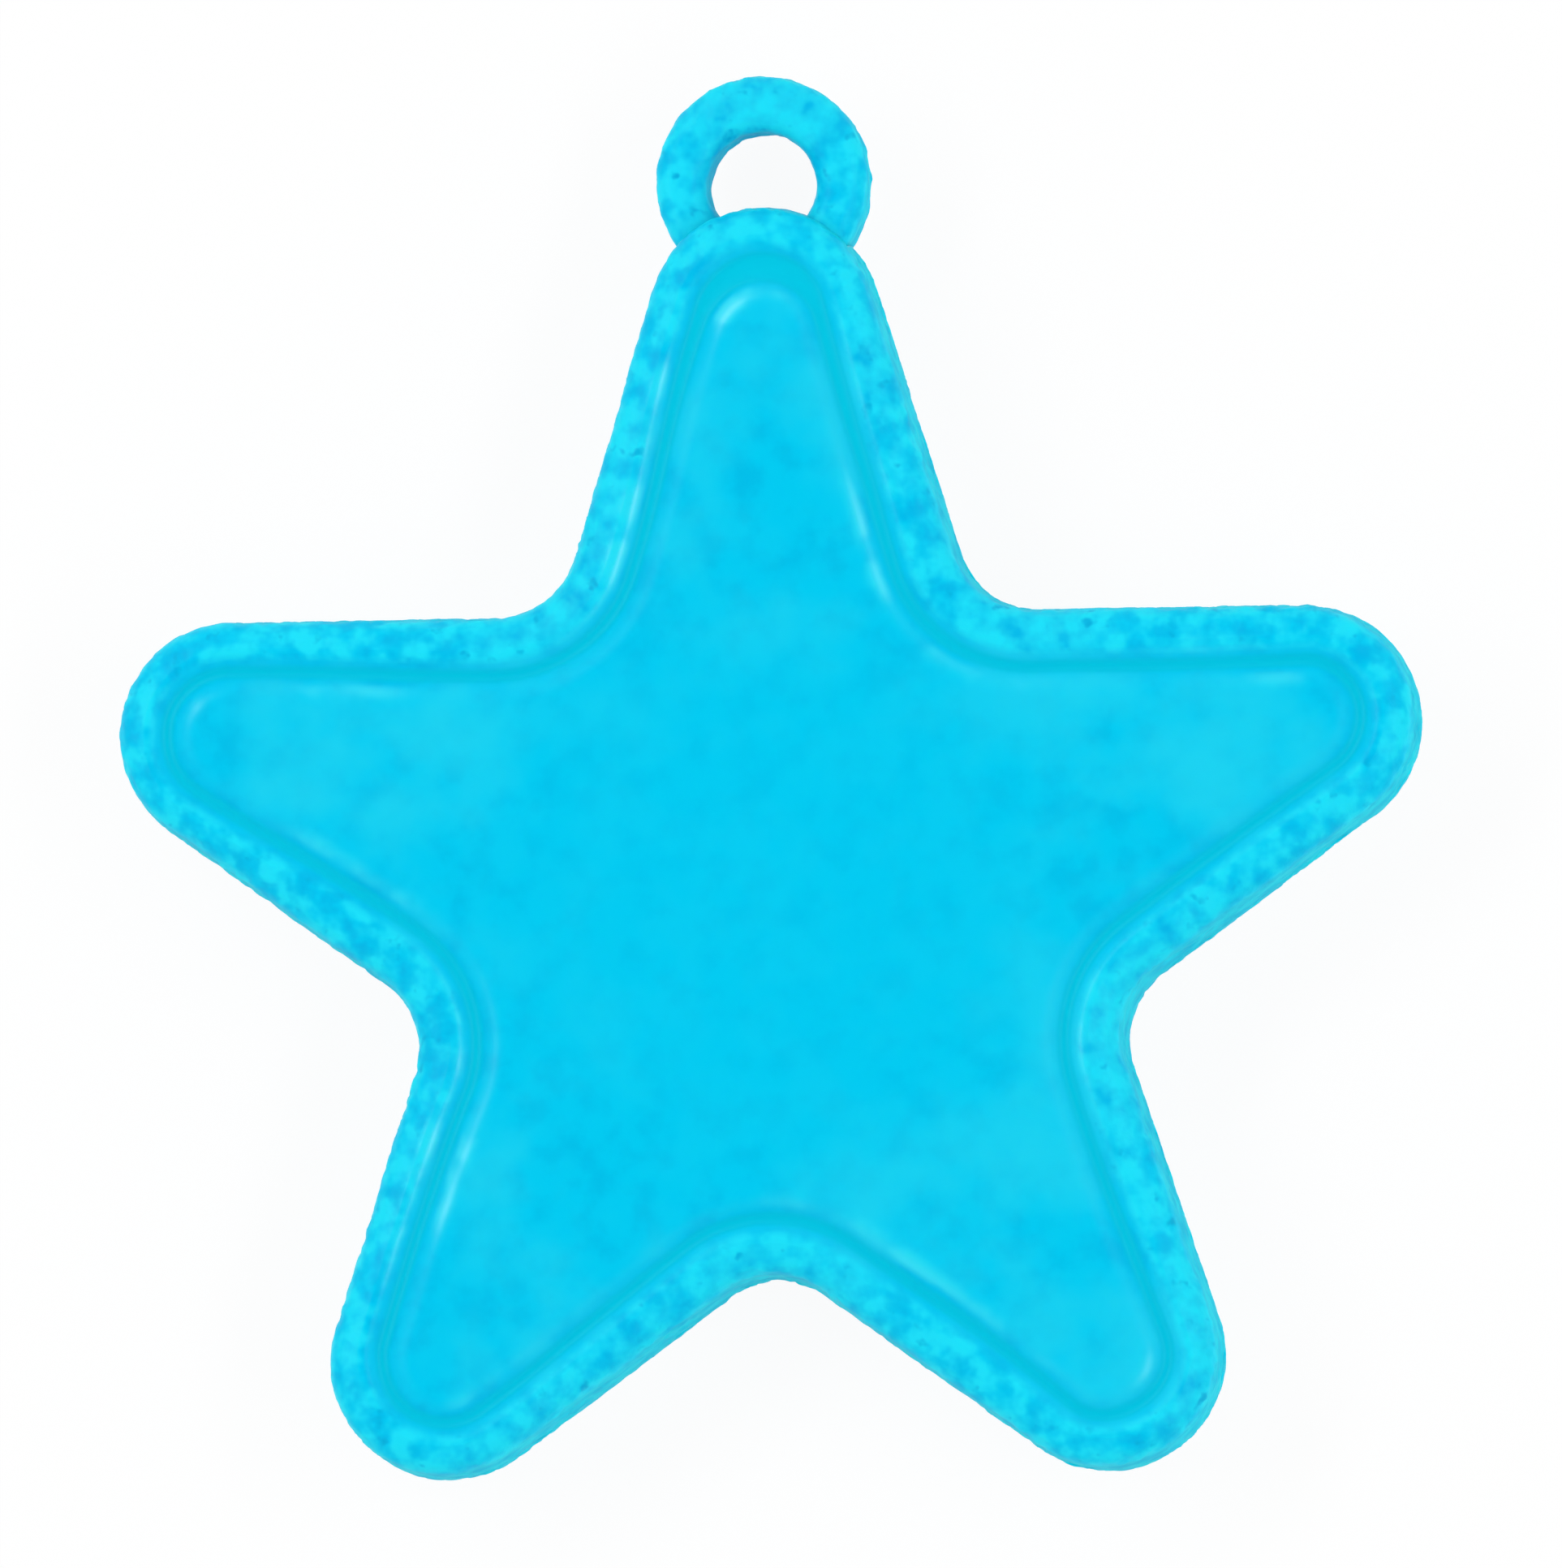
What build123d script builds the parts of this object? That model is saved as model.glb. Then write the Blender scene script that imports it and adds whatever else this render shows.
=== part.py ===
from build123d import *
import os
from math import acos, atan2, cos, hypot, radians, sin, tan

# Star-shaped balloon weight, lying face up. Two equal moulded half shells meet on a parting plane
# halfway up and are welded round a cast ballast core and a ring, which takes the ribbon.
# The origin is on the floor, below the star's middle, and the ring points along +Y.

# Star outline, seen from above
arm_count = 5
arm_reach = 27.25  # from the middle to the round end of an arm
hanger_arm_extra = 0.7  # how much longer the arm with the ring is
tip_radius = 4.7  # round end of an arm
notch_radius = 3.2  # round corner between two arms

# Moulded face of a half shell, from its edge towards its middle
rim_height = 3.6  # from the parting plane to the top of the rim
rim_width = 1.6
groove_width = 0.45  # across its floor
groove_depth = 0.42
pillow_rise = 0.2  # how far the pillow stands above the rim
side_draft_angle = 3.5  # degrees, on the outside wall
groove_draft_angle = 50  # degrees from upright, on both sides of the groove

# Roundings of that face. The first is a share of the rim's width, and each of the others takes up
# a share of the straight line beside it.
rim_outer_round_share = 0.7
rim_inner_round_share = 0.44  # of the slope from the rim down to the groove
groove_round_share = 0.48  # of the groove's floor, on each side of it
pillow_round_share = 0.42  # of the slope from the groove up to the pillow

# Walls of a half shell
side_wall = 1.5
face_wall = 1.2

# Hanging ring. The end wall of its arm passes through its hole and holds it.
ring_standoff = 0.95  # from the arm's end to the ring's middle
ring_radius = 4.3
ring_thickness = 3.8
ring_round_share = 0.42
hole_standoff = 0.75  # from the arm's end to the hole's middle
hole_radius = 2.15
ring_clearance = 0.05

# Locating posts, one in each arm beside the ring's axis. Those on the right have pins and those
# on the left have sockets, so that a shell turned over fits its twin.
post_setback = 9.7  # from the arm's end to the post's middle
post_diameter = 3.2
pin_diameter = 1.6
pin_length = 1.2
pin_chamfer = 0.2
pin_clearance = 0.05
socket_spare_depth = 0.3

# Room round the ballast core
ballast_gap = 0.25

# Values worked out from the ones above
half_step = 180 / arm_count
hanger_reach = arm_reach + hanger_arm_extra
groove_inset = rim_width + groove_depth * tan(radians(groove_draft_angle))
pillow_inset = groove_inset + groove_width
pillow_wall = groove_depth + pillow_rise
pillow_height = rim_height + pillow_rise
rim_slope = groove_depth / cos(radians(groove_draft_angle))
pillow_slope = pillow_wall / cos(radians(groove_draft_angle))
slope_bend = tan(radians(90 - groove_draft_angle) / 2)
cavity_height = rim_height - groove_depth - face_wall
pocket_height = pillow_height - face_wall
pocket_inset = pillow_inset + face_wall
parting_height = pillow_height
parting = Plane.XY.offset(parting_height)


def polar(reach, angle):
    """A point of the plan, at a reach from the middle and an angle in degrees from +X."""
    return (reach * cos(radians(angle)), reach * sin(radians(angle)))


def star_corners(hanger_extra):
    """The sharp corners of the star, arm and notch by turns, from the ring's arm round to the left."""
    half_tip_angle = radians(90 * (arm_count - 4) / arm_count)
    arm_corner = arm_reach - tip_radius + tip_radius / sin(half_tip_angle)
    notch_corner = arm_corner * cos(radians(2 * half_step)) / cos(radians(half_step))
    # The ring's arm is longer: its edges run from the notch corners and touch its own round end
    notch_along, notch_across = polar(notch_corner, half_step)
    tip_along = arm_reach + hanger_extra - tip_radius - notch_along
    hanger_half_angle = acos(tip_radius / hypot(notch_across, tip_along)) - atan2(tip_along, notch_across)
    hanger_corner = notch_along + notch_across / tan(hanger_half_angle)
    corners = []
    for arm in range(arm_count):
        angle = 90 + 2 * half_step * arm
        corners.append(polar(hanger_corner if arm == 0 else arm_corner, angle))
        corners.append(polar(notch_corner, angle + half_step))
    return corners


def star(inset=0, hanger_extra=hanger_arm_extra):
    """The star's rounded outline as a face, drawn in by inset all round."""
    with BuildSketch() as outline:
        with BuildLine():
            corners = star_corners(hanger_extra)
            FilletPolyline(*corners, radius=[tip_radius, notch_radius] * arm_count, close=True)
        make_face()
        if inset > 0:
            offset(amount=-inset, mode=Mode.REPLACE)
    return outline.sketch


def ring_solid(room=0):
    """The ring with its rounded faces, grown by room all round."""
    with BuildPart() as ring:
        with BuildSketch(parting.offset(-ring_thickness / 2 - room)):
            with Locations((0, hanger_reach + ring_standoff)):
                Circle(ring_radius + room)
            with Locations((0, hanger_reach + hole_standoff)):
                Circle(hole_radius - room, mode=Mode.SUBTRACT)
        extrude(amount=ring_thickness + 2 * room)
        ring_edges = ring.faces().filter_by(Axis.Z).edges()
        fillet(ring_edges, radius=ring_round_share * ring_thickness / 2 + room)
    return ring.part


arm_posts = [polar(arm_reach - post_setback, 90 + 2 * half_step * arm) for arm in range(1, arm_count)]
pin_posts = [spot for spot in arm_posts if spot[0] > post_diameter]
socket_posts = [spot for spot in arm_posts if spot[0] < -post_diameter]

# Hanging ring
with BuildPart() as hanging_ring:
    add(ring_solid())

# Pin: a round peg below the parting plane, with a bevelled end
with BuildPart() as pin:
    with BuildSketch(parting):
        Circle(pin_diameter / 2)
    extrude(amount=-pin_length)
    chamfer(pin.faces().sort_by(Axis.Z)[0].edges(), length=pin_chamfer)

# Front shell
with BuildPart() as front_shell:
    # Body, up to the rounded rim
    with BuildSketch(parting):
        add(star())
    extrude(amount=rim_height, taper=side_draft_angle)
    fillet(front_shell.faces().sort_by(Axis.Z)[-1].edges(), radius=rim_outer_round_share * rim_width)
    # Sunk face inside the rim
    with BuildSketch(parting.offset(rim_height)):
        add(star(rim_width))
    extrude(amount=-groove_depth, taper=groove_draft_angle, mode=Mode.SUBTRACT)
    rim_top = front_shell.faces().sort_by(Axis.Z)[-1]
    fillet(rim_top.inner_wires().edges(), radius=rim_inner_round_share * rim_slope / slope_bend)
    # Pillow, which leaves a groove between itself and the rim
    with BuildSketch(parting.offset(rim_height - groove_depth)):
        add(star(pillow_inset, hanger_extra=0))
    extrude(amount=pillow_wall, taper=groove_draft_angle)
    pillow_round = pillow_round_share * pillow_slope / slope_bend
    fillet(front_shell.faces().sort_by(Axis.Z)[-1].edges(), radius=pillow_round)
    groove_floor = front_shell.faces().filter_by(Axis.Z).sort_by(Axis.Z)[1]
    fillet(groove_floor.edges(), radius=groove_round_share * groove_width / slope_bend)
    # Hollow for the ballast, deeper under the pillow
    with BuildSketch(parting):
        add(star(side_wall))
    extrude(amount=cavity_height, mode=Mode.SUBTRACT)
    with BuildSketch(parting):
        add(star(pocket_inset, hanger_extra=0))
    extrude(amount=pocket_height, mode=Mode.SUBTRACT)
    # Seat of the ring, across the end wall of the long arm. The wall inside the ring's hole stays.
    add(ring_solid(ring_clearance), mode=Mode.SUBTRACT)
    # Posts with their pins and sockets
    with BuildSketch(parting):
        with Locations(*pin_posts, *socket_posts):
            Circle(post_diameter / 2)
    extrude(amount=pocket_height)
    with Locations(*pin_posts):
        add(pin.part)
    with BuildSketch(parting):
        with Locations(*socket_posts):
            Circle(pin_diameter / 2 + pin_clearance)
    extrude(amount=pin_length + socket_spare_depth, mode=Mode.SUBTRACT)

# Back shell: the same moulding, turned over
with BuildPart() as back_shell:
    add(front_shell.part.rotate(Axis((0, 0, parting_height), (0, 1, 0)), 180))

# Ballast core: cast to the hollow, with room for the posts and the ring, and lying on the back shell
with BuildPart() as ballast_core:
    with BuildSketch(parting.offset(ballast_gap - cavity_height)):
        add(star(side_wall + ballast_gap))
    extrude(amount=2 * (cavity_height - ballast_gap))
    with BuildSketch(parting.offset(-pocket_height)):
        add(star(pocket_inset + ballast_gap, hanger_extra=0))
    extrude(amount=2 * pocket_height - ballast_gap)
    with BuildSketch(parting.offset(-pocket_height)):
        with Locations(*pin_posts, *socket_posts):
            Circle(post_diameter / 2 + ballast_gap)
        with Locations((0, hanger_reach + ring_standoff)):
            Circle(ring_radius + ballast_gap)
    extrude(amount=2 * pocket_height, mode=Mode.SUBTRACT)

os.makedirs("parts", exist_ok=True)
front_shell.part.label = "front_shell"
export_step(front_shell.part, "parts/front_shell.step")
back_shell.part.label = "back_shell"
export_step(back_shell.part, "parts/back_shell.step")
hanging_ring.part.label = "hanging_ring"
export_step(hanging_ring.part, "parts/hanging_ring.step")
ballast_core.part.label = "ballast_core"
export_step(ballast_core.part, "parts/ballast_core.step")
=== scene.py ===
from math import acos, atan2, ceil, cos, hypot, pi, radians, sin, tan

import bpy
import numpy as np
from mathutils import Matrix, Vector, noise


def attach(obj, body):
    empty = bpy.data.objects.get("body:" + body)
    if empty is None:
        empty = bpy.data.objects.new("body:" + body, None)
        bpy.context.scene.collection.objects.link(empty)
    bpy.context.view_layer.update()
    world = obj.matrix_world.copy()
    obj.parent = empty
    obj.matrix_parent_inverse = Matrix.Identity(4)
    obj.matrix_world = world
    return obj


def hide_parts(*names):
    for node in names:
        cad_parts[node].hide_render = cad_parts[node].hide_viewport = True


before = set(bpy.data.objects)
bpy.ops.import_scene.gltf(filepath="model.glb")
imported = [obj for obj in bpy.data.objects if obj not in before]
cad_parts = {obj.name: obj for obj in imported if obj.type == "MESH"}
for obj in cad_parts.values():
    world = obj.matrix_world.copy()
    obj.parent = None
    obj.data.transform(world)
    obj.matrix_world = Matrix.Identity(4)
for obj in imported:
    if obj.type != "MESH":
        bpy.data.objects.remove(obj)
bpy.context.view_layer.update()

# Star-shaped balloon weight, lying face up: two equal moulded half shells, welded on a parting plane
# round a ballast core and a captive ring. Sizes are in millimetres and angles in degrees, and meshes
# are made in metres. A shell is drawn standing on the parting plane.
MM = 0.001

# Star outline, seen from above
ARM_COUNT = 5
ARM_REACH = 27.25  # from the middle to the round end of an arm
HANGER_ARM_EXTRA = 0.7  # how much longer the arm with the ring is
TIP_RADIUS = 4.7
NOTCH_RADIUS = 3.2

# Moulded face of a half shell, from its edge towards its middle
RIM_HEIGHT = 3.6  # from the parting plane to the top of the rim
RIM_WIDTH = 1.6
GROOVE_WIDTH = 0.28  # across its floor
GROOVE_DEPTH = 0.42
PILLOW_RISE = 0.2  # how far the pillow's middle stands above the rim
PILLOW_CROWN = 0.15  # how much lower the pillow's edge is than its middle
SIDE_DRAFT = 3.5
GROOVE_DRAFT = 50
RIM_OUTER_ROUND = 1.12
RIM_INNER_ROUND = 0.8
GROOVE_ROUND = 0.38
PILLOW_ROUND = 1.38
SEAM_BEVEL = 0.05  # on the edge that meets the other shell

# Hollow of a half shell
SIDE_WALL = 1.5
FACE_WALL = 1.2

# Hanging ring. The end wall of its arm passes through its hole and holds it.
RING_STANDOFF = 0.95  # from the arm's end to the ring's middle
RING_RADIUS = 4.3
RING_THICKNESS = 3.8
RING_ROUND = 0.8
HOLE_STANDOFF = 0.75  # from the arm's end to the hole's middle
HOLE_RADIUS = 2.15
RING_CLEARANCE = 0.05

# Locating posts in the hollow, with pins on the right and sockets on the left
POST_SETBACK = 9.7  # from the arm's end to the post's middle
POST_DIAMETER = 3.2
PIN_DIAMETER = 1.6
PIN_LENGTH = 1.2
PIN_CLEARANCE = 0.05
SOCKET_DEPTH = 1.5

# Pebbled grain of the rim and the ring, all of it below the smooth face. Its pebbles lie in cells, and
# a pitch is the count of a noise's lumps in the width of a cell.
GRAIN_DEPTH = 0.14
GRAIN_CELL = 0.75
GRAIN_FADE_START = 0.95  # from the outline, where the grain starts to die out
GRAIN_FADE_END = 1.45
GRAIN_TINT_START = 1.45  # its patches of colour reach further
GRAIN_TINT_END = 1.95
PEBBLE_EDGE = 0.55  # in cells, over which a pebble rises
PEBBLE_SHARE = 0.55  # of the grain's height, and the rest is in lumps
LUMP_PITCH = 1.3
PEBBLE_BEND = 0.5  # in cells, how far the pebbles are bent out of shape
BEND_PITCH = 0.9
BEND_SHIFT = (7, 3, 5)  # between the noise that bends across and the one that bends along
DEEP_PITCH = 0.23  # the grain is deeper in some places than in others
DEEP_RANGE = (-0.35, 0.35)  # of that noise, from faint to deep
DEEP_LEAST_SHARE = 0.45  # of its depth, where it is faintest

# Sink marks on the pillow
SINK_DEPTH = 0.035
SINK_LENGTH = 5.0
SINK_FULL_SHARE = 0.3  # of the way from the pillow's edge to its middle, where they are full

# Unevenness of the moulded face. A place says which part of a noise is used.
RIM_NOTCH_EXTRA = 0.3  # how much wider the rim is in the notches
NOTCH_EXTRA_START = 25.0  # from the star's middle
NOTCH_EXTRA_END = 15.0
WOBBLE = 0.28  # how far the groove strays from its line
WOBBLE_LENGTH = 8.0
WOBBLE_PLACE = (39.5, 13.0, 28.9)
WOBBLE_START = 0.5  # from the outline
GLOSS_LENGTH = 9.0  # of the glossy patches on the groove's edges
GLOSS_RANGE = (-0.1, 0.6)  # of their noise, from dull to glossy
RIM_GLOSS_PLACE = (31.9, 33.1, 14.5)
PILLOW_GLOSS_PLACE = (39.5, 31.5, 0.9)
PILLOW_DULLNESS = 0.75  # of the pillow's flat middle

# Mesh
MESH_STEP = 0.19
ARC_STEP = 16  # degrees of turn in one step of a small round
FINE_SKIP = 2  # the outer part of the pillow takes every second point of the outline
WIDE_SKIP = 4  # and its middle and the hollow take every fourth
WIDE_START_SHARE = 0.5  # of the way from the pillow's edge to its middle
PILLOW_STEPS = 26  # from the pillow's edge to its middle
ROUND_SIDES = 48  # of posts, pins and sockets
SHARP_ANGLE = 60  # edges that turn by more look sharp

# Plastic, colours in linear red, green and blue. A range is the stretch of a noise, or of another value
# from 0 to 1, over which a tint comes in.
PLASTIC_COLOUR = (0.0, 0.605, 0.868)
CLOUD_COLOUR = (0.0, 0.53, 0.805)  # faint clouds on the smooth faces
CLOUD_SIZE = 1.3
CLOUD_RANGE = (0.40, 0.75)
CLOUD_MIDDLE_SHARE = 0.45  # of the clouds on the arms, in the star's middle
ARM_SHEEN_COLOUR = (0.014, 0.66, 0.865)  # painted sheen in patches on the arms' smooth faces
ARM_SHEEN_SIZE = 6.0
ARM_SHEEN_PLACE = (40.0, 0.0, 20.0)  # millimetres
ARM_SHEEN_RANGE = (0.45, 0.70)
ARM_SHEEN_SHARE = 0.8
ARMS_START = 9.0  # from the star's middle, where clouds and haze start to gain
ARMS_END = 17.0
GROOVE_SHADE_COLOUR = (0.0, 0.60, 0.79)  # painted shade in the groove
GROOVE_SHADE_START_SHARE = 0.5  # of the groove's depth, where the painted shade starts
PATCH_COLOUR = (0.0, 0.50, 0.80)  # darker patches of the grain
PATCH_RANGE = (0.54, 0.75)
BRIGHT_COLOUR = (0.012, 0.735, 0.92)  # brighter patches between them
BRIGHT_RANGE = (0.60, 0.34)
PATCH_SIZE = 1.0
SPECK_COLOUR = (0.0, 0.44, 0.72)
SPECK_SIZE = 0.8
SPECK_RANGE = (0.62, 0.80)
SHINE_SIZE = 2.2  # patches that break up the shine of the edges
SHINE_RANGE = (0.38, 0.62)
SHINE_LEAST_SHARE = 0.3
EDGE_HIGHLIGHT_COLOUR = (0.012, 0.75, 0.93)  # painted highlight on the shiny edges
EDGE_HIGHLIGHT_SHARE = 0.9
WALL_SHADE_COLOUR = (0.0, 0.46, 0.60)  # painted shade on upright walls
EDGE_RANGE = (0.45, 0.0)  # of the normal's height
WALL_SHADE_SHARE = 0.3
EDGE_SPECULAR_SHARE = 0.1
PLASTIC_IOR = 1.45
SMOOTH_SPECULAR = 0.55
GRAIN_SPECULAR = 0.06
SMOOTH_ROUGHNESS = 0.33
GRAIN_ROUGHNESS = 0.42
GLOW_SHARE = 0.5  # light that enters the plastic and leaves it nearby
GLOW_REACH = (0.3, 0.8, 1.0)  # millimetres
FINE_GRAIN_SIZE = 0.16
FINE_GRAIN_DEPTH = 0.02
FINE_GRAIN_STRENGTH = 0.5
PLAIN_DETAIL = 2.0  # of a noise
CLOUD_DETAIL = 4.0

# Filler of the ballast core
FILLER_COLOUR = (0.42, 0.40, 0.37)
FILLER_GRAIN_COLOUR = (0.30, 0.28, 0.26)
FILLER_GRAIN_SIZE = 0.6
FILLER_GRAIN_RANGE = (0.4, 0.6)
FILLER_PORE_SIZE = 0.9
FILLER_PORE_DEPTH = 0.1
FILLER_PORE_STRENGTH = 0.6
FILLER_ROUGHNESS = 0.85

# Floor and light. A share is a part of the light at which a colour renders as it is written.
WHITE = (1.0, 1.0, 1.0)
FLOOR_SIDE = 4000
FLOOR_GAP = 0.02  # below the weight
FLOOR_COLOUR = (0.96, 0.96, 0.96)
FLOOR_GLOW_SHARE = 0.93
WORLD_LEVEL_LOW = 0.78  # from the floor upwards
WORLD_LEVEL_HIGH = 0.04  # overhead
WORLD_DIM_START = 0.70  # sine of the elevation
WORLD_DIM_END = 0.92
SOFTBOX_WIDTH = 520
SOFTBOX_LENGTH = 120
SOFTBOX_DISTANCE = 600
KEY_AZIMUTH = 155  # from +X towards +Y
KEY_ELEVATION = 52
KEY_SHARE = 0.30
FILL_AZIMUTH = -8
FILL_ELEVATION = 52
FILL_SHARE = 0.26

# Camera, with places in the photo's own pixels
PHOTO_WIDTH = 1925
PHOTO_HEIGHT = 1932
PHOTO_STAR_X = 952.8
PHOTO_STAR_Y = 1113.6
PHOTO_STAR_TURN = 0.69  # to the left
PHOTO_SCALE = 0.0325  # millimetres in a pixel, at the star's edge
CAMERA_DISTANCE = 1000
CAMERA_LEAN_RIGHT = 5.0  # degrees, towards the photo's right side
CAMERA_LEAN_DOWN = 2.7
CAMERA_RANGE = 100  # it sees from a hundredth to a hundred times its distance

# Values worked out from the ones above
HALF_STEP = 180 / ARM_COUNT
HANGER_REACH = ARM_REACH + HANGER_ARM_EXTRA
GROOVE_FLOOR = RIM_HEIGHT - GROOVE_DEPTH
PARTING_HEIGHT = RIM_HEIGHT + PILLOW_RISE
PILLOW_EDGE_HEIGHT = PARTING_HEIGHT - PILLOW_CROWN
GROOVE_INSET = RIM_WIDTH + GROOVE_DEPTH * tan(radians(GROOVE_DRAFT))
PILLOW_INSET = GROOVE_INSET + GROOVE_WIDTH
PILLOW_TOP_INSET = PILLOW_INSET + (PILLOW_EDGE_HEIGHT - GROOVE_FLOOR) * tan(radians(GROOVE_DRAFT))
FACE_END_INSET = PILLOW_TOP_INSET + PILLOW_ROUND / 2  # past the round of the pillow's edge
CAVITY_HEIGHT = GROOVE_FLOOR - FACE_WALL
POCKET_HEIGHT = PARTING_HEIGHT - FACE_WALL
POCKET_INSET = PILLOW_INSET + FACE_WALL
POST_OVERLAP = FACE_WALL / 2  # posts, pins and sockets run past the face that they meet


def on_circle(angle, radius=1.0):
    """A point of a circle about the middle, at an angle in radians from +X."""
    return radius * np.array((cos(angle), sin(angle)))


def polar(reach, angle):
    """A point of the plan, at a reach from the middle and an angle in degrees from +X."""
    return on_circle(radians(angle), reach)


def circle(count):
    """The directions to points evenly round a circle."""
    angles = 2 * pi * np.arange(count) / count
    return np.column_stack((np.cos(angles), np.sin(angles)))


def at_height(plan, height):
    """Points of the plan, lifted to a height."""
    return np.column_stack((plan, np.full(len(plan), height)))


def unit(vector):
    return vector / np.linalg.norm(vector)


def smooth_step(value, start, end):
    """0 before start, 1 after end, and a smooth rise between them."""
    share = np.clip((value - start) / (end - start), 0, 1)
    return share * share * (3 - 2 * share)


def lifted(value):
    """A noise from -1 to 1, brought to the range from 0 to 1."""
    return 0.5 + 0.5 * value


# Outlines and sections


def star_corners(hanger_extra):
    """The sharp corners of the star, arm and notch by turns, from the ring's arm round to the left."""
    # In a regular star the edges of an arm line up with edges of other arms
    half_tip_angle = radians(90 * (ARM_COUNT - 4) / ARM_COUNT)
    arm_corner = ARM_REACH - TIP_RADIUS + TIP_RADIUS / sin(half_tip_angle)
    notch_corner = arm_corner * cos(radians(2 * HALF_STEP)) / cos(radians(HALF_STEP))
    # The ring's arm is longer: its edges run from the notch corners and touch its own round end
    notch_along, notch_across = polar(notch_corner, HALF_STEP)
    tip_along = ARM_REACH + hanger_extra - TIP_RADIUS - notch_along
    hanger_half_angle = acos(TIP_RADIUS / hypot(notch_across, tip_along)) - atan2(tip_along, notch_across)
    hanger_corner = notch_along + notch_across / tan(hanger_half_angle)
    corners = []
    for arm in range(ARM_COUNT):
        angle = 90 + 2 * HALF_STEP * arm
        corners.append(polar(hanger_corner if arm == 0 else arm_corner, angle))
        corners.append(polar(notch_corner, angle + HALF_STEP))
    return corners


def rounded_corner(before, corner, after, radius):
    """The middle of a round corner, the angle at which it starts and the angle it turns, in radians."""
    back = unit(before - corner)
    ahead = unit(after - corner)
    half_angle = acos(np.clip(back @ ahead, -1, 1)) / 2
    middle = corner + unit(back + ahead) * radius / sin(half_angle)
    start = corner + back * radius / tan(half_angle) - middle
    turn = pi - 2 * half_angle
    left = back[1] * ahead[0] - back[0] * ahead[1] > 0
    return middle, atan2(start[1], start[0]), turn if left else -turn


def rounded_path(corners, radii, closed=False, counts=None, multiple=1):
    """Points along straight runs with round corners, and how many steps each round and run has. The
    steps come in multiples, or have the counts of another line, whose points then pair off with these."""
    corners = [np.array(corner, float) for corner in corners]
    rounds = []
    for index, (corner, radius) in enumerate(zip(corners, radii)):
        if radius == 0:
            rounds.append((corner, 0, 0))
        else:
            after = corners[(index + 1) % len(corners)]
            rounds.append(rounded_corner(corners[index - 1], corner, after, radius))
    starts = [middle + on_circle(start, radius) for (middle, start, turn), radius in zip(rounds, radii)]
    points = []
    made = []
    for index, ((middle, start, turn), radius) in enumerate(zip(rounds, radii)):
        last = middle + on_circle(start + turn, radius)
        goal = starts[(index + 1) % len(starts)]
        if counts:
            arc_count, run_count = counts[index]
        else:
            arc_steps = max(abs(turn) * radius / MESH_STEP, abs(turn) / radians(ARC_STEP))
            arc_count = multiple * ceil(arc_steps / multiple)
            run_count = multiple * max(1, round(np.linalg.norm(goal - last) / MESH_STEP / multiple))
        made.append((arc_count, run_count))
        for step in range(arc_count):
            points.append(middle + on_circle(start + turn * step / arc_count, radius))
        if closed or index < len(rounds) - 1:
            points.extend(last + (goal - last) * step / run_count for step in range(run_count))
        else:
            points.append(last)
    return np.array(points), made


def star_outline(hanger_extra, counts=None):
    """Points round the star, the outward directions there, and the counts that made them."""
    radii = [TIP_RADIUS, NOTCH_RADIUS] * ARM_COUNT
    points, made = rounded_path(star_corners(hanger_extra), radii, True, counts, multiple=WIDE_SKIP)
    along = np.roll(points, -1, axis=0) - np.roll(points, 1, axis=0)
    outward = np.stack((along[:, 1], -along[:, 0]), axis=1)
    return points, outward / np.linalg.norm(outward, axis=1, keepdims=True), made


LONG_STAR, LONG_OUTWARD, STAR_COUNTS = star_outline(HANGER_ARM_EXTRA)
EVEN_STAR, EVEN_OUTWARD = star_outline(0, STAR_COUNTS)[:2]


def inset_star(inset, evenness=0.0):
    """The star drawn in by inset, which may differ from point to point. Evenness 1 gives the ring's arm
    the same length as the others."""
    inset = np.asarray(inset)[..., None]
    long_line = LONG_STAR - inset * LONG_OUTWARD
    even_line = EVEN_STAR - inset * EVEN_OUTWARD
    return long_line + evenness * (even_line - long_line)


def section_normals(section):
    """The directions square to a section line, on its outer side, as (inwards, up)."""
    along = np.roll(section, -1, axis=0) - np.roll(section, 1, axis=0)
    square = np.stack((-along[:, 1], along[:, 0]), axis=1)
    return square / np.linalg.norm(square, axis=1, keepdims=True)


def face_section():
    """The moulded face from the seam to the pillow's edge, as (inset from the outline, height)."""
    side_slope = tan(radians(SIDE_DRAFT))
    corners = [
        (SEAM_BEVEL, 0),
        (SEAM_BEVEL * side_slope, SEAM_BEVEL),
        (RIM_HEIGHT * side_slope, RIM_HEIGHT),
        (RIM_WIDTH, RIM_HEIGHT),
        (GROOVE_INSET, GROOVE_FLOOR),
        (PILLOW_INSET, GROOVE_FLOOR),
        (PILLOW_TOP_INSET, PILLOW_EDGE_HEIGHT),
        (FACE_END_INSET, PILLOW_EDGE_HEIGHT),
    ]
    radii = [0, 0, RIM_OUTER_ROUND, RIM_INNER_ROUND, GROOVE_ROUND, GROOVE_ROUND, PILLOW_ROUND, 0]
    return rounded_path(corners, radii)[0]


def ring_section():
    """The ring's section, as (distance in from the ring's outside, height)."""
    width = RING_RADIUS - HOLE_RADIUS
    height = RING_THICKNESS / 2
    corners = [(0, -height), (0, height), (width, height), (width, -height)]
    return rounded_path(corners, [RING_ROUND] * len(corners), closed=True)[0]


# Grain and unevenness


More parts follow.
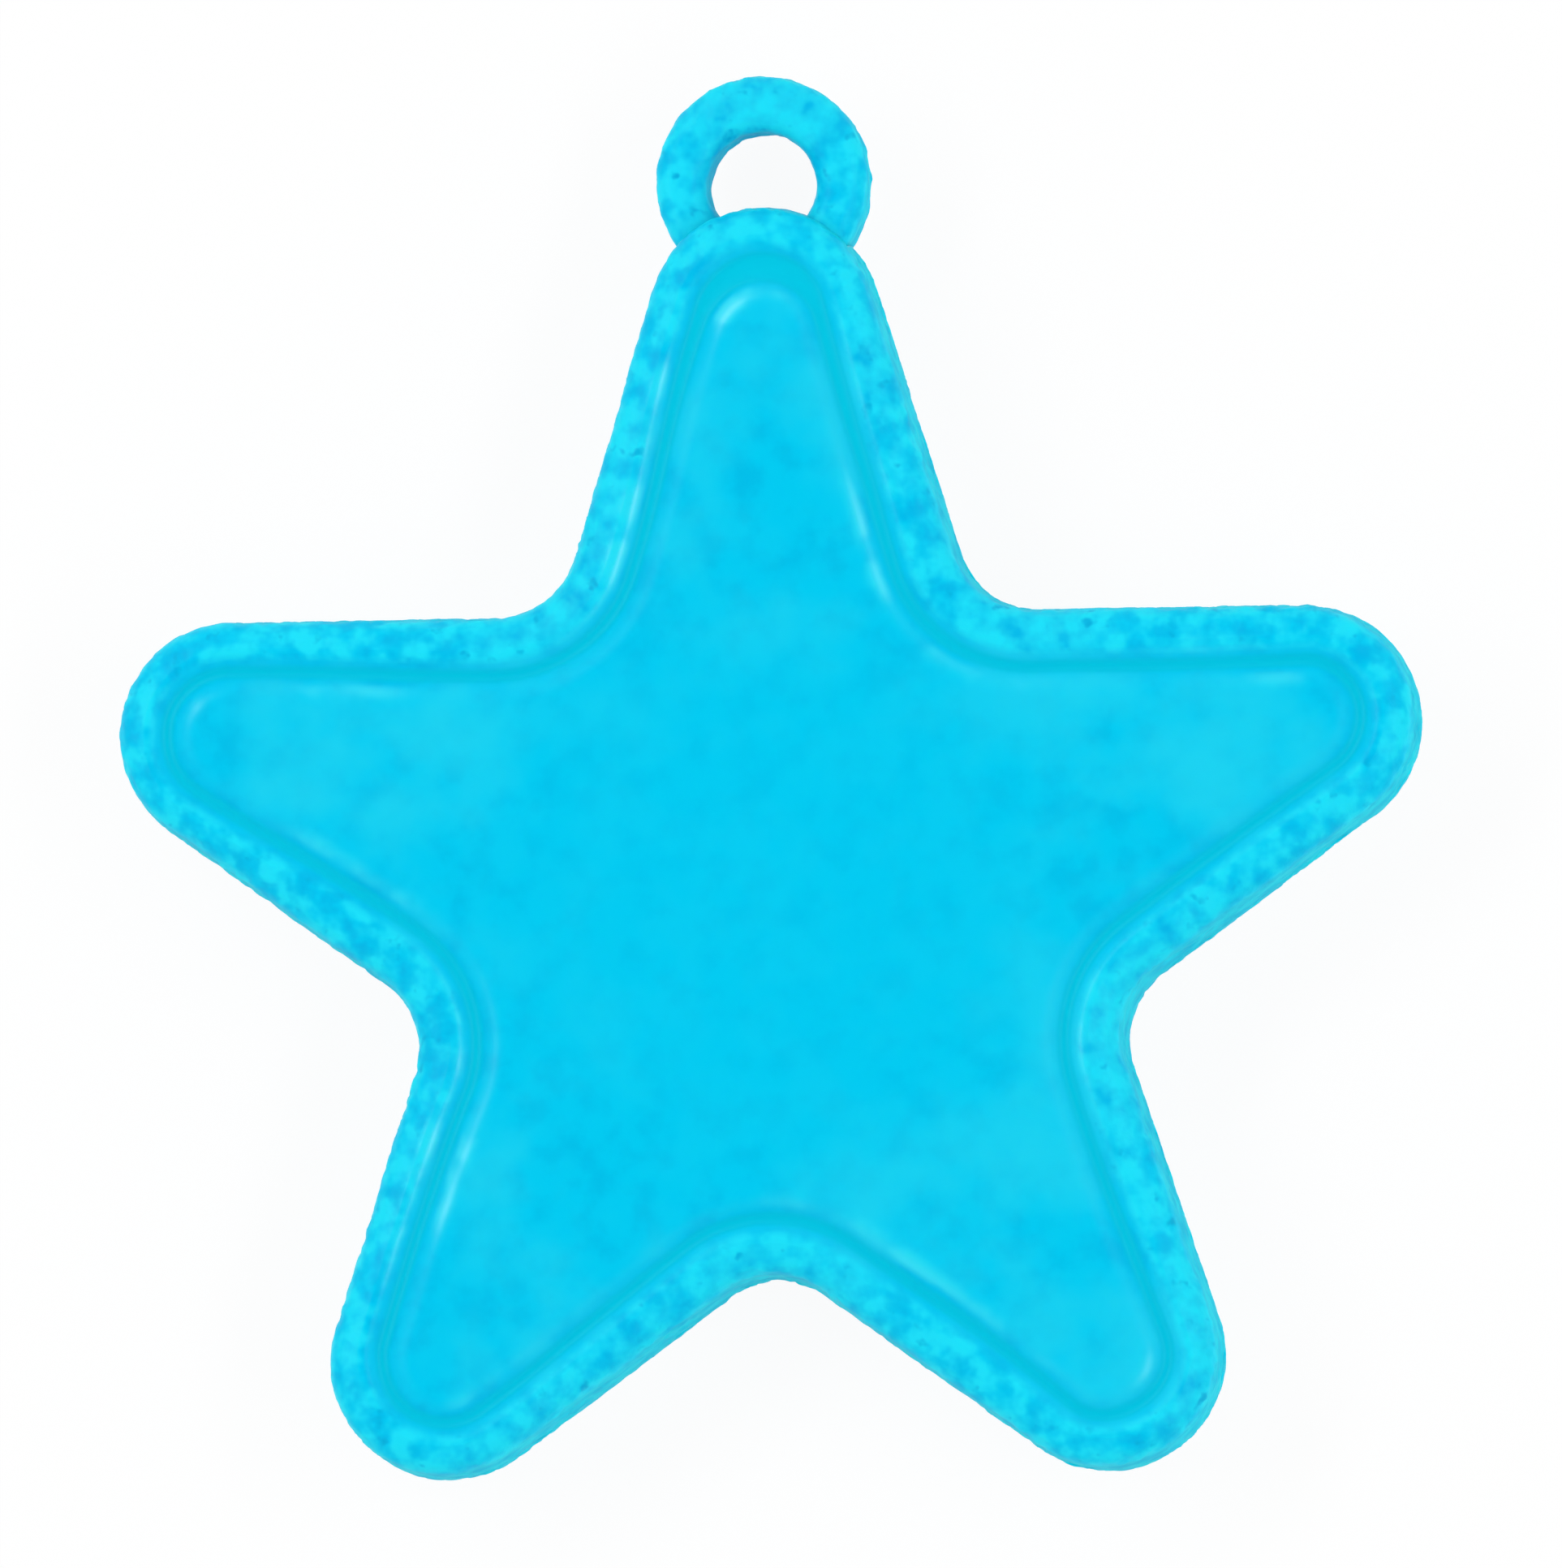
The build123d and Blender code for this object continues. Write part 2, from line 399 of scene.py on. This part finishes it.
def pebble(x, y, z):
    """How high the grain stands at a point, from 0 in a pit to 1 on a pebble."""
    place = Vector((x, y, z)) / GRAIN_CELL
    across = noise.noise(place * BEND_PITCH)
    along = noise.noise(place * BEND_PITCH + Vector(BEND_SHIFT))
    near, next_near = noise.voronoi(place + PEBBLE_BEND * Vector((across, along, 0)))[0][:2]
    stone = smooth_step(next_near - near, 0, PEBBLE_EDGE)
    lump = lifted(noise.noise(place * LUMP_PITCH))
    height = PEBBLE_SHARE * stone + (1 - PEBBLE_SHARE) * lump
    deep = smooth_step(noise.noise(place * DEEP_PITCH), *DEEP_RANGE)
    return 1 - (1 - height) * (DEEP_LEAST_SHARE + (1 - DEEP_LEAST_SHARE) * deep)


def pebbles(points):
    return np.array([pebble(*point) for point in points])


def slow_noise(points, length, place=(0, 0, 0)):
    """A noise from about -1 to 1 at points, with lumps of a length."""
    return np.array([noise.noise(Vector(point) / length + Vector(place)) for point in points])


def stray():
    """How far inside its even line the groove lies, at each point of the outline."""
    reach = np.linalg.norm(LONG_STAR, axis=1)
    in_notch = smooth_step(-reach, -NOTCH_EXTRA_START, -NOTCH_EXTRA_END)
    wobble = slow_noise(at_height(LONG_STAR, 0), WOBBLE_LENGTH, WOBBLE_PLACE)
    return RIM_NOTCH_EXTRA * in_notch + WOBBLE * wobble


def gloss_share(place):
    """The share of the full gloss at each point of the outline, which comes in patches."""
    return smooth_step(slow_noise(at_height(LONG_STAR, 0), GLOSS_LENGTH, place), *GLOSS_RANGE)


def face_dullness(insets, grain_shares):
    """How dull the moulded face is, from 0 to 1, for each inset and each point of the outline."""
    rim_edge = 1 - grain_shares - smooth_step(insets, RIM_WIDTH, GROOVE_INSET)
    pillow_edge = smooth_step(insets, PILLOW_INSET, PILLOW_TOP_INSET)
    rim_gloss = np.outer(rim_edge, gloss_share(RIM_GLOSS_PLACE))
    pillow_gloss = np.outer(pillow_edge, gloss_share(PILLOW_GLOSS_PLACE))
    dullness = 1 - rim_gloss - pillow_gloss
    on_top = smooth_step(insets, PILLOW_TOP_INSET, FACE_END_INSET)[:, None]
    return dullness + on_top * (PILLOW_DULLNESS - dullness)


# Meshes


def bridge(faces, first, first_count, second, second_count):
    """Adds the faces between two rings of points, of which one may have half as many as the other."""
    if first_count == second_count:
        for i in range(first_count):
            j = (i + 1) % first_count
            faces.append((first + i, first + j, second + j, second + i))
    elif first_count == 2 * second_count:
        for i in range(second_count):
            j = (i + 1) % second_count
            a, b, c = 2 * i, 2 * i + 1, (2 * i + 2) % first_count
            faces.append((first + a, first + b, second + i))
            faces.append((first + b, second + j, second + i))
            faces.append((first + b, first + c, second + j))
    else:
        flipped = []
        bridge(flipped, second, second_count, first, first_count)
        faces.extend(face[::-1] for face in flipped)


def skin(rings, closed=False):
    """Points and faces of a surface through rings of points. It ends in fans, or closes on itself."""
    points = np.concatenate(rings)
    starts = np.cumsum([0] + [len(ring) for ring in rings])
    faces = []
    for index in range(len(rings) - 1):
        bridge(faces, starts[index], len(rings[index]), starts[index + 1], len(rings[index + 1]))
    last = starts[-2]
    if closed:
        bridge(faces, last, len(rings[-1]), 0, len(rings[0]))
        return points, faces
    first_hub = len(points)
    points = np.concatenate((points, [rings[0].mean(axis=0), rings[-1].mean(axis=0)]))
    for i in range(len(rings[0])):
        faces.append(((i + 1) % len(rings[0]), i, first_hub))
    for i in range(len(rings[-1])):
        faces.append((last + i, last + (i + 1) % len(rings[-1]), first_hub + 1))
    return points, faces


def make_object(name, points, faces, **attributes):
    """A mesh object from points in millimetres, with a value of each attribute at each point."""
    mesh = bpy.data.meshes.new(name)
    mesh.from_pydata(points * MM, [], faces)
    for attribute, values in attributes.items():
        mesh.attributes.new(attribute, "FLOAT", "POINT").data.foreach_set("value", values)
    made = bpy.data.objects.new(name, mesh)
    bpy.context.scene.collection.objects.link(made)
    return made


def grained_rings(plan_at, outward, section, normals, grain_shares):
    """Rings of points along a section, sunk by the grain."""
    rings = []
    for (inset, height), (inwards, up), share in zip(section, normals, grain_shares):
        ring = at_height(plan_at(inset), height)
        if np.any(share > 0):
            sink = GRAIN_DEPTH * share * (1 - pebbles(ring))
            ring[:, :2] += inwards * sink[:, None] * outward
            ring[:, 2] -= up * sink
        rings.append(ring)
    return rings


def pillow_rings(edge):
    """Rings from the pillow's edge to near its middle, with a slight crown and sink marks."""
    rings = []
    for step in range(1, PILLOW_STEPS):
        share = step / PILLOW_STEPS
        skip = FINE_SKIP if share < WIDE_START_SHARE else WIDE_SKIP
        ring = edge[::skip] * (1 - share, 1 - share, 1)
        sinks = lifted(slow_noise(ring, SINK_LENGTH)) * smooth_step(share, 0, SINK_FULL_SHARE)
        ring[:, 2] = PARTING_HEIGHT - PILLOW_CROWN * (1 - share) ** 2 - SINK_DEPTH * sinks
        rings.append(ring)
    return rings


def hollow_rings():
    """Rings of the hollow, from its ceiling out to the seam."""
    levels = [
        (POCKET_INSET, 1.0, POCKET_HEIGHT, WIDE_SKIP),
        (POCKET_INSET, 1.0, CAVITY_HEIGHT, WIDE_SKIP),
        (SIDE_WALL, 0.0, CAVITY_HEIGHT, WIDE_SKIP),
        (SIDE_WALL, 0.0, 0, WIDE_SKIP),
        ((SIDE_WALL + SEAM_BEVEL) / 2, 0.0, 0, FINE_SKIP),
    ]
    return [at_height(inset_star(inset, even)[::skip], height) for inset, even, height, skip in levels]


def shell_body():
    """The star of a half shell, without its posts and the seat of its ring."""
    section = face_section()
    insets = section[:, 0]
    normals = section_normals(section)
    normals[0] = (-1, 0)  # the seam stays flat
    normals[-1] = (0, 1)
    grain_shares = 1 - smooth_step(insets, GRAIN_FADE_START, GRAIN_FADE_END)
    tint_shares = 1 - smooth_step(insets, GRAIN_TINT_START, GRAIN_TINT_END)
    strays = stray()

    def plan_at(inset):
        on_face = smooth_step(inset, WOBBLE_START, RIM_WIDTH)
        on_pillow = smooth_step(inset, GROOVE_INSET, PILLOW_INSET)
        return inset_star(inset + strays * on_face, on_pillow)

    face = grained_rings(plan_at, LONG_OUTWARD, section, normals, grain_shares)
    inside = hollow_rings()
    points, faces = skin(inside + face + pillow_rings(face[-1]))
    first = sum(len(ring) for ring in inside)
    last = first + sum(len(ring) for ring in face)
    pebbled = np.zeros(len(points))
    pebbled[first:last] = np.repeat(tint_shares, len(LONG_STAR))
    dull = np.full(len(points), PILLOW_DULLNESS)
    dull[first:last] = face_dullness(insets, grain_shares).ravel()
    return make_object("front_half", points, faces, pebbled=pebbled, dull=dull)


def ring_body(name, room=0.0, grained=True):
    """The hanging ring about the parting plane, grown by room all round. It is smooth in its seat."""
    outward = circle(round(2 * pi * RING_RADIUS / MESH_STEP))
    outside = (0, HANGER_REACH + RING_STANDOFF) + RING_RADIUS * outward
    inside = (0, HANGER_REACH + HOLE_STANDOFF) + HOLE_RADIUS * outward

    def plan_at(inset):
        return outside + (inside - outside) * inset / (RING_RADIUS - HOLE_RADIUS)

    def grain_share(inset):
        from_tip = np.linalg.norm(plan_at(inset) - (0, HANGER_REACH - TIP_RADIUS), axis=1)
        return grained * smooth_step(from_tip, TIP_RADIUS, TIP_RADIUS + GRAIN_CELL)

    section = ring_section()
    normals = section_normals(section)
    grain_shares = [grain_share(inset) for inset in section[:, 0]]
    rings = grained_rings(plan_at, outward, section + room * normals, normals, grain_shares)
    points, faces = skin(rings, closed=True)
    whole = np.ones(len(points))
    return make_object(name, points, faces, pebbled=whole, dull=whole)


def round_prism(name, spot, diameter, low, high):
    """A straight round solid between two heights."""
    plan = spot + diameter / 2 * circle(ROUND_SIDES)
    return make_object(name, *skin([at_height(plan, low), at_height(plan, high)]))


def combine(target, operation, others):
    """Joins the others to the target's mesh, or cuts them out of it, and removes them."""
    for other in others:
        modifier = target.modifiers.new(operation.lower(), "BOOLEAN")
        modifier.operation = operation
        modifier.solver = "MANIFOLD"
        modifier.object = other
    graph = bpy.context.evaluated_depsgraph_get()
    mesh = bpy.data.meshes.new_from_object(target.evaluated_get(graph))
    target.modifiers.clear()
    target.data = mesh
    for other in others:
        bpy.data.objects.remove(other)


def half_shell():
    """A whole half shell, standing on the parting plane."""
    shell = shell_body()
    combine(shell, "DIFFERENCE", [ring_body("seat", RING_CLEARANCE, grained=False)])
    spots = [polar(ARM_REACH - POST_SETBACK, 90 + 2 * HALF_STEP * arm) for arm in range(1, ARM_COUNT)]
    right = [spot for spot in spots if spot[0] > 0]
    left = [spot for spot in spots if spot[0] < 0]
    post_top = POCKET_HEIGHT + POST_OVERLAP
    hole = PIN_DIAMETER + 2 * PIN_CLEARANCE
    posts = [round_prism("post", spot, POST_DIAMETER, 0, post_top) for spot in spots]
    combine(shell, "UNION", posts)
    pins = [round_prism("pin", spot, PIN_DIAMETER, -PIN_LENGTH, POST_OVERLAP) for spot in right]
    combine(shell, "UNION", pins)
    sockets = [round_prism("socket", spot, hole, -POST_OVERLAP, SOCKET_DEPTH) for spot in left]
    combine(shell, "DIFFERENCE", sockets)
    return shell


def finish_mesh(piece, name, turned_over=False):
    """Names a piece, lifts it to its place and smooths its shading, apart from sharp edges."""
    piece.name = name
    piece.data.name = name
    if turned_over:
        piece.data.transform(Matrix.Rotation(pi, 4, "Y"))
    piece.data.transform(Matrix.Translation((0, 0, PARTING_HEIGHT * MM)))
    piece.data.shade_smooth()
    piece.data.set_sharp_from_angle(angle=radians(SHARP_ANGLE))


# Nodes of materials


def new_material(name):
    """A new material, its node tree and its shader."""
    material = bpy.data.materials.new(name)
    material.use_nodes = True
    return material, material.node_tree, material.node_tree.nodes["Principled BSDF"]


def feed(tree, socket, value):
    """Links a node's output to a socket, or sets the socket to a plain value."""
    if isinstance(value, bpy.types.NodeSocket):
        tree.links.new(value, socket)
    else:
        socket.default_value = value


def add_node(tree, kind, **settings):
    """A new node of a kind. Settings in small letters are its properties, the others its inputs."""
    node = tree.nodes.new("ShaderNode" + kind)
    for name, value in settings.items():
        if name[0].islower():
            setattr(node, name, value)
        else:
            feed(tree, node.inputs[name.replace("_", " ")], value)
    return node


def calculate(tree, operation, *values):
    """The result of a Math node, from outputs and plain numbers."""
    node = add_node(tree, "Math", operation=operation)
    for socket, value in zip(node.inputs, values):
        feed(tree, socket, value)
    return node.outputs[0]


def product(tree, first, second):
    return calculate(tree, "MULTIPLY", first, second)


def ramp(tree, value, from_low, from_high, to_low=0.0, to_high=1.0):
    """A value carried over smoothly from one range to another."""
    limits = {"From_Min": from_low, "From_Max": from_high, "To_Min": to_low, "To_Max": to_high}
    node = add_node(tree, "MapRange", interpolation_type="SMOOTHSTEP", Value=value, **limits)
    return node.outputs["Result"]


def opaque(colour):
    return (*colour, 1)


def tint(tree, share, base, colour):
    """A base colour, plain or from another node, mixed with a plain one by a share."""
    node = add_node(tree, "Mix", data_type="RGBA", Factor=share)
    base_socket, colour_socket = [socket for socket in node.inputs if socket.type == "RGBA"]
    feed(tree, base_socket, opaque(base) if isinstance(base, tuple) else base)
    feed(tree, colour_socket, opaque(colour))
    return [socket for socket in node.outputs if socket.type == "RGBA"][0]


def speckle(tree, place, size, detail=PLAIN_DETAIL):
    """Noise with lumps of about a size in millimetres."""
    node = add_node(tree, "TexNoise", Vector=place, Scale=1 / (size * MM), Detail=detail)
    return node.outputs["Fac"]


def object_place(tree):
    return add_node(tree, "TexCoord").outputs["Object"]


def moved(tree, place, offset):
    """A place, moved by an offset in millimetres."""
    node = add_node(tree, "VectorMath", operation="ADD", Vector=place)
    node.inputs[1].default_value = Vector(offset) * MM
    return node.outputs["Vector"]


def height_of(tree, vector):
    return add_node(tree, "SeparateXYZ", Vector=vector).outputs["Z"]


def named_value(tree, name):
    return add_node(tree, "Attribute", attribute_name=name).outputs["Fac"]


def roughen(tree, shader, height, strength, depth):
    """Gives a shader fine unevenness of a depth in millimetres."""
    bump = add_node(tree, "Bump", Height=height, Strength=strength, Distance=depth * MM)
    feed(tree, shader.inputs["Normal"], bump.outputs["Normal"])


# Materials


def groove_shade_share(tree, place):
    """Where the groove's painted shade lies: 1 at the bottom of the groove and 0 above it, on both
    shells.
    """
    above_seam = calculate(tree, "SUBTRACT", height_of(tree, place), PARTING_HEIGHT * MM)
    from_seam = calculate(tree, "ABSOLUTE", above_seam)
    start = RIM_HEIGHT - GROOVE_SHADE_START_SHARE * GROOVE_DEPTH
    low = ramp(tree, from_seam, start * MM, GROOVE_FLOOR * MM)
    smooth = ramp(tree, named_value(tree, "pebbled"), 1, 0)
    return product(tree, low, smooth)


def upright_share(tree):
    """How upright a wall is, from 0 to 1."""
    normal = add_node(tree, "TexCoord").outputs["Normal"]
    level = calculate(tree, "ABSOLUTE", height_of(tree, normal))
    return ramp(tree, level, *EDGE_RANGE)


def smooth_face_colour(tree, place):
    """Faint clouds, painted sheen in patches on the arms, and painted shade in the groove."""
    reach = add_node(tree, "VectorMath", operation="LENGTH", Vector=place).outputs["Value"]
    on_arms = ramp(tree, reach, ARMS_START * MM, ARMS_END * MM)
    clouds = ramp(tree, speckle(tree, place, CLOUD_SIZE, CLOUD_DETAIL), *CLOUD_RANGE)
    clouds = product(tree, clouds, ramp(tree, on_arms, 0, 1, CLOUD_MIDDLE_SHARE, 1))
    colour = tint(tree, clouds, PLASTIC_COLOUR, CLOUD_COLOUR)
    # Painted sheen: lighter whitish patches on the arms
    arm_sheen = speckle(tree, moved(tree, place, ARM_SHEEN_PLACE), ARM_SHEEN_SIZE, CLOUD_DETAIL)
    arm_sheen = product(tree, ramp(tree, arm_sheen, *ARM_SHEEN_RANGE, 0, ARM_SHEEN_SHARE), on_arms)
    colour = tint(tree, arm_sheen, colour, ARM_SHEEN_COLOUR)
    # Painted shade: the groove's bottom is darker
    return tint(tree, groove_shade_share(tree, place), colour, GROOVE_SHADE_COLOUR)


def grain_colour(tree, place, pebbled, colour):
    """A colour with darker and brighter patches and small dark specks, where the plastic is pebbled."""
    patches = speckle(tree, place, PATCH_SIZE)
    specks = speckle(tree, place, SPECK_SIZE)
    spots = [
        (patches, PATCH_RANGE, PATCH_COLOUR),
        (patches, BRIGHT_RANGE, BRIGHT_COLOUR),
        (specks, SPECK_RANGE, SPECK_COLOUR),
    ]
    for value, value_range, spot_colour in spots:
        share = product(tree, ramp(tree, value, *value_range), pebbled)
        colour = tint(tree, share, colour, spot_colour)
    return colour


def moulded_plastic():
    """Cyan plastic: mottled and rather dull on the pebbled grain, glossier on the smooth faces. Shiny
    edges are paler with a painted highlight, and upright walls darker with painted shade."""
    material, tree, shader = new_material("cyan_plastic")
    place = object_place(tree)
    pebbled = named_value(tree, "pebbled")
    dull = named_value(tree, "dull")
    upright = upright_share(tree)
    breaks = ramp(tree, speckle(tree, place, SHINE_SIZE), *SHINE_RANGE, SHINE_LEAST_SHARE, 1)
    shine = product(tree, ramp(tree, dull, 1, 0), breaks)
    colour = grain_colour(tree, place, pebbled, smooth_face_colour(tree, place))
    # Painted highlight: the shiny edges are paler
    colour = tint(tree, ramp(tree, shine, 0, 1, 0, EDGE_HIGHLIGHT_SHARE), colour, EDGE_HIGHLIGHT_COLOUR)
    # Painted shade: upright walls are darker
    colour = tint(tree, ramp(tree, upright, 0, 1, 0, WALL_SHADE_SHARE), colour, WALL_SHADE_COLOUR)
    roughness = ramp(tree, dull, PILLOW_DULLNESS, 1, SMOOTH_ROUGHNESS, GRAIN_ROUGHNESS)
    specular = ramp(tree, shine, 0, 1, GRAIN_SPECULAR, SMOOTH_SPECULAR)
    specular = product(tree, specular, ramp(tree, upright, 0, 1, 1, EDGE_SPECULAR_SHARE))
    inputs = {
        "Base Color": colour,
        "Roughness": roughness,
        "Specular IOR Level": specular,
        "IOR": PLASTIC_IOR,
        "Subsurface Weight": GLOW_SHARE,
        "Subsurface Radius": GLOW_REACH,
        "Subsurface Scale": MM,
    }
    for name, value in inputs.items():
        feed(tree, shader.inputs[name], value)
    fine_grain = product(tree, speckle(tree, place, FINE_GRAIN_SIZE), pebbled)
    roughen(tree, shader, fine_grain, FINE_GRAIN_STRENGTH, FINE_GRAIN_DEPTH)
    return material


def cast_filler():
    """Dull grey mineral filler with grains and small pores."""
    material, tree, shader = new_material("cast_filler")
    place = object_place(tree)
    grains = ramp(tree, speckle(tree, place, FILLER_GRAIN_SIZE), *FILLER_GRAIN_RANGE)
    feed(tree, shader.inputs["Base Color"], tint(tree, grains, FILLER_COLOUR, FILLER_GRAIN_COLOUR))
    feed(tree, shader.inputs["Roughness"], FILLER_ROUGHNESS)
    pores = speckle(tree, place, FILLER_PORE_SIZE)
    roughen(tree, shader, pores, FILLER_PORE_STRENGTH, FILLER_PORE_DEPTH)
    return material


def floor_paint():
    """Pale paint that the eye and mirrors see nearly white, with a faint shadow."""
    material, tree, shader = new_material("white_floor")
    tree.nodes.remove(shader)
    paths = add_node(tree, "LightPath").outputs
    seen = paths["Is Camera Ray"]
    for name in ("Is Glossy Ray", "Is Transmission Ray"):
        seen = calculate(tree, "MAXIMUM", seen, paths[name])
    mix = add_node(tree, "MixShader", Fac=product(tree, seen, FLOOR_GLOW_SHARE))
    paint = add_node(tree, "BsdfDiffuse", Color=opaque(FLOOR_COLOUR))
    glow = add_node(tree, "Emission", Color=opaque(WHITE))
    feed(tree, mix.inputs[1], paint.outputs["BSDF"])
    feed(tree, mix.inputs[2], glow.outputs["Emission"])
    feed(tree, tree.nodes["Material Output"].inputs["Surface"], mix.outputs["Shader"])
    return material


# Stage


def white_floor():
    """A large floor just below the weight."""
    side = FLOOR_SIDE / 2
    corners = np.array([(-side, -side), (side, -side), (side, side), (-side, side)])
    floor = make_object("floor", at_height(corners, -FLOOR_GAP), [(0, 1, 2, 3)])
    floor.data.materials.append(floor_paint())


def direction(azimuth, elevation):
    """The direction at an angle from +X, seen from above, and an angle above the floor."""
    level = cos(radians(elevation))
    return Vector((*polar(level, azimuth), sin(radians(elevation))))


def softbox(name, azimuth, elevation, share):
    """A large soft lamp that gives the floor a share of the light at which white renders white."""
    lamp = bpy.data.lights.new(name, "AREA")
    lamp.shape = "RECTANGLE"
    lamp.size = SOFTBOX_WIDTH * MM
    lamp.size_y = SOFTBOX_LENGTH * MM
    distance = SOFTBOX_DISTANCE * MM
    lamp.energy = share * (pi * distance) ** 2 / sin(radians(elevation))
    placed = bpy.data.objects.new(name, lamp)
    away = direction(azimuth, elevation)
    placed.location = away * distance
    placed.rotation_mode = "QUATERNION"
    placed.rotation_quaternion = away.to_track_quat("Z", "Y")
    bpy.context.scene.collection.objects.link(placed)


def studio_world():
    """Soft light from all round, brightest near the floor and dim overhead."""
    world = bpy.data.worlds.new("studio")
    world.use_nodes = True
    bpy.context.scene.world = world
    tree = world.node_tree
    height = height_of(tree, add_node(tree, "TexCoord").outputs["Generated"])
    level = ramp(tree, height, WORLD_DIM_START, WORLD_DIM_END, WORLD_LEVEL_LOW, WORLD_LEVEL_HIGH)
    background = tree.nodes["Background"]
    feed(tree, background.inputs["Color"], opaque(WHITE))
    feed(tree, background.inputs["Strength"], level)


def photo_camera():
    """A long lens looking down on the star, placed so that the star lies as it does in the photo."""
    roll = radians(PHOTO_STAR_TURN)
    right = Vector((cos(roll), -sin(roll), 0))
    up = Vector((sin(roll), cos(roll), 0))
    scale = PHOTO_SCALE * MM
    off_right = (PHOTO_WIDTH / 2 - PHOTO_STAR_X) * scale
    off_up = (PHOTO_STAR_Y - PHOTO_HEIGHT / 2) * scale
    aim = right * off_right + up * off_up + Vector((0, 0, PARTING_HEIGHT * MM))
    lean_right = tan(radians(CAMERA_LEAN_RIGHT))
    lean_down = tan(radians(CAMERA_LEAN_DOWN))
    away = (Vector((0, 0, 1)) + right * lean_right - up * lean_down).normalized()
    across = up.cross(away).normalized()
    turn = Matrix((across, away.cross(across), away)).transposed().to_4x4()
    distance = CAMERA_DISTANCE * MM
    camera = bpy.data.objects.new("camera", bpy.data.cameras.new("camera"))
    camera.matrix_world = Matrix.Translation(aim + away * distance) @ turn
    camera.data.lens = camera.data.sensor_width * distance / (PHOTO_HEIGHT * scale)
    camera.data.clip_start = distance / CAMERA_RANGE
    camera.data.clip_end = distance * CAMERA_RANGE
    bpy.context.scene.collection.objects.link(camera)
    bpy.context.scene.camera = camera


# The object

plastic = moulded_plastic()
front = half_shell()
back = front.copy()
back.data = front.data.copy()
bpy.context.scene.collection.objects.link(back)
ring = ring_body("hanging_ring_grained")
finish_mesh(front, "front_shell_grained")
finish_mesh(back, "back_shell_grained", turned_over=True)
finish_mesh(ring, "hanging_ring_grained")
dressed = [
    (front, "front_shell", "front_plastic"),
    (back, "back_shell", "back_plastic"),
    (ring, "hanging_ring", "ring_plastic"),
]
for piece, node, slot in dressed:
    piece.data.materials.clear()
    piece.data.materials.append(plastic)
    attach(piece, "root")
    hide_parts(node)
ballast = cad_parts["ballast_core"]
ballast.data.materials.clear()
ballast.data.materials.append(cast_filler())

white_floor()
studio_world()
softbox("key_softbox", KEY_AZIMUTH, KEY_ELEVATION, KEY_SHARE)
softbox("fill_softbox", FILL_AZIMUTH, FILL_ELEVATION, FILL_SHARE)
photo_camera()
bpy.context.scene.view_settings.view_transform = "Standard"
